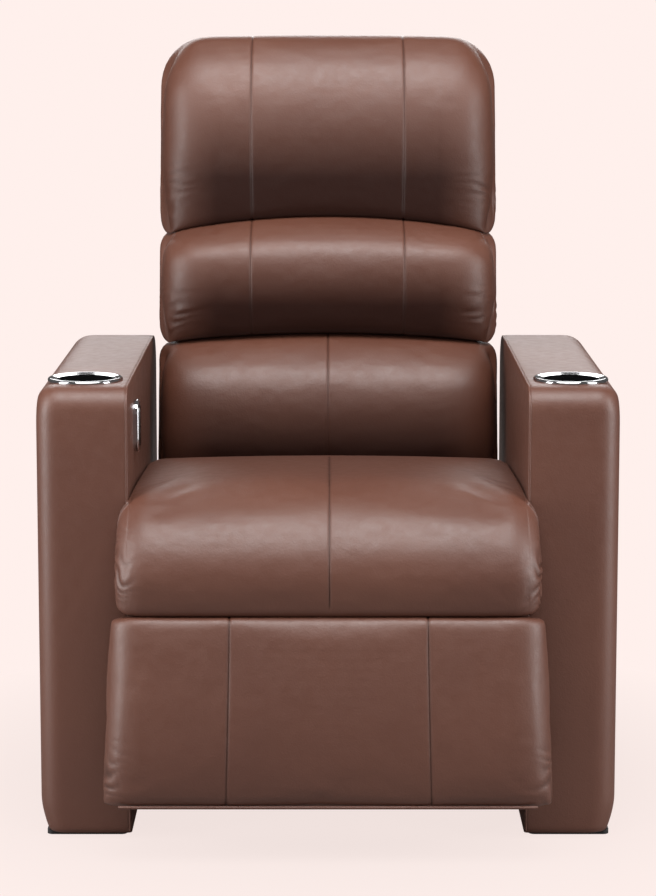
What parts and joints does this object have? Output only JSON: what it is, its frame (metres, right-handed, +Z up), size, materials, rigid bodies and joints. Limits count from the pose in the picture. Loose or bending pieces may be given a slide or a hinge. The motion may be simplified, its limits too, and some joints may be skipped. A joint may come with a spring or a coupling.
{
  "type": "cinema recliner seat",
  "caption": "Leather cinema recliner with padded arms, cup holders, a sliding seat, a reclining back and a folding footrest.",
  "frame": {"origin": "middle of the closed seat on the floor", "axes": "+Z up, the seat faces -Y, +X to the sitter's left"},
  "size_m": [0.81, 0.8884, 1.1087],
  "materials": {
    "leather": "soft semi-gloss brown leather",
    "steel": "black powder coat",
    "zinc": "bright zinc plate",
    "plywood": "raw plywood",
    "chrome": "polished",
    "black_gloss": "gloss",
    "black_plastic": "matt"
  },
  "bodies": {
    "base": {"arm_cover_left": "leather", "arm_cover_right": "leather", "arm_frame_left": "plywood", "arm_frame_right": "plywood", "cup_liner_left": "black_gloss", "cup_liner_right": "black_gloss", "cup_rim_left": "chrome", "cup_rim_right": "chrome", "slide_channel_left": "steel", "slide_channel_right": "steel", "arm_glides": "black_plastic", "arm_bolts": "zinc", "switch_bezel": "chrome", "switch_housing": "black_gloss", "front_cross_rail": "steel", "rear_cross_rail": "steel", "drive_brackets": "steel", "actuator_bracket": "steel", "actuator_motor": "black_plastic", "actuator_tube": "zinc"},
    "button_open": {"button_open": "black_gloss"},
    "button_close": {"button_close": "black_gloss"},
    "seat": {"seat_plate_left": "steel", "seat_plate_right": "steel", "slide_shoes": "black_plastic", "seat_rail_front": "steel", "seat_rail_rear": "steel", "seat_springs": "zinc", "seat_cushion": "leather", "drive_cross_tube": "steel", "actuator_rod": "zinc"},
    "front_links": {"front_link_left": "steel", "front_link_right": "steel", "torque_tube": "steel"},
    "long_links": {"long_link_left": "steel", "long_link_right": "steel"},
    "rear_links": {"rear_link_left": "steel", "rear_link_right": "steel"},
    "lower_links": {"lower_link_left": "steel", "lower_link_right": "steel"},
    "footrest": {"footrest_bracket_left": "steel", "footrest_bracket_right": "steel", "footrest_board": "plywood", "footrest_pad": "leather", "footrest_screws": "zinc"},
    "drive_links": {"drive_link_left": "steel", "drive_link_right": "steel"},
    "control_links": {"control_link_left": "steel", "control_link_right": "steel"},
    "back": {"back_bracket_left": "steel", "back_bracket_right": "steel", "back_post_left": "plywood", "back_post_right": "plywood", "back_rail_bottom": "plywood", "back_rail_top": "plywood", "back_springs": "zinc", "back_cushion_lower": "leather", "back_cushion_middle": "leather", "back_cushion_head": "leather", "back_shell": "leather"}
  },
  "joints": [
    {"name": "seat_slide", "type": "slide", "parent": "base", "child": "seat", "axis": [0, -1, 0], "range_m": [0, 0.1]},
    {"name": "back_recline", "type": "hinge", "parent": "seat", "child": "back", "pos_m": [0, 0.13774, 0.345], "axis": [-1, 0, 0], "range_deg": [0, 32.01]},
    {"name": "front_link_swing", "type": "hinge", "parent": "seat", "child": "front_links", "pos_m": [0, -0.18319, 0.25959], "axis": [-1, 0, 0], "range_deg": [0, 81.51]},
    {"name": "long_link_swing", "type": "hinge", "parent": "front_links", "child": "long_links", "pos_m": [0, -0.15081, 0.13617], "axis": [1, 0, 0], "range_deg": [0, 81.51]},
    {"name": "footrest_swing", "type": "hinge", "parent": "long_links", "child": "footrest", "pos_m": [0, -0.34035, 0.29578], "axis": [-1, 0, 0], "range_deg": [0, 81.51]},
    {"name": "rear_link_swing", "type": "hinge", "parent": "seat", "child": "rear_links", "pos_m": [0, -0.22916, 0.2983], "axis": [-1, 0, 0], "range_deg": [0, 81.51]},
    {"name": "lower_link_swing", "type": "hinge", "parent": "rear_links", "child": "lower_links", "pos_m": [0, -0.17318, 0.08492], "axis": [1, 0, 0], "range_deg": [0, 81.51]},
    {"name": "drive_link_swing", "type": "hinge", "parent": "base", "child": "drive_links", "pos_m": [0, -0.27916, 0.13767], "axis": [1, 0, 0], "range_deg": [0, 24.96]},
    {"name": "control_link_swing", "type": "hinge", "parent": "base", "child": "control_links", "pos_m": [0, 0.08774, 0.15396], "axis": [1, 0, 0], "range_deg": [0, 15.48]},
    {"name": "button_open_press", "type": "slide", "parent": "base", "child": "button_open", "axis": [-1, 0, 0], "range_m": [0, 0.0015], "stiffness_N_per_m": 600, "springref_m": -0.001},
    {"name": "button_close_press", "type": "slide", "parent": "base", "child": "button_close", "axis": [-1, 0, 0], "range_m": [0, 0.0015], "stiffness_N_per_m": 600, "springref_m": -0.001}
  ],
  "couplings": [
    {"joint": "back_recline", "follows": "seat_slide", "rad_per_m": 5.5851},
    {"joint": "front_link_swing", "follows": "seat_slide", "rad_per_m": 14.224},
    {"joint": "long_link_swing", "follows": "seat_slide", "rad_per_m": 14.224},
    {"joint": "footrest_swing", "follows": "seat_slide", "rad_per_m": 14.224},
    {"joint": "rear_link_swing", "follows": "seat_slide", "rad_per_m": 14.224},
    {"joint": "lower_link_swing", "follows": "seat_slide", "rad_per_m": 14.224},
    {"joint": "drive_link_swing", "follows": "seat_slide", "rad_per_m": 4.3546},
    {"joint": "control_link_swing", "follows": "seat_slide", "rad_per_m": 2.7007}
  ]
}
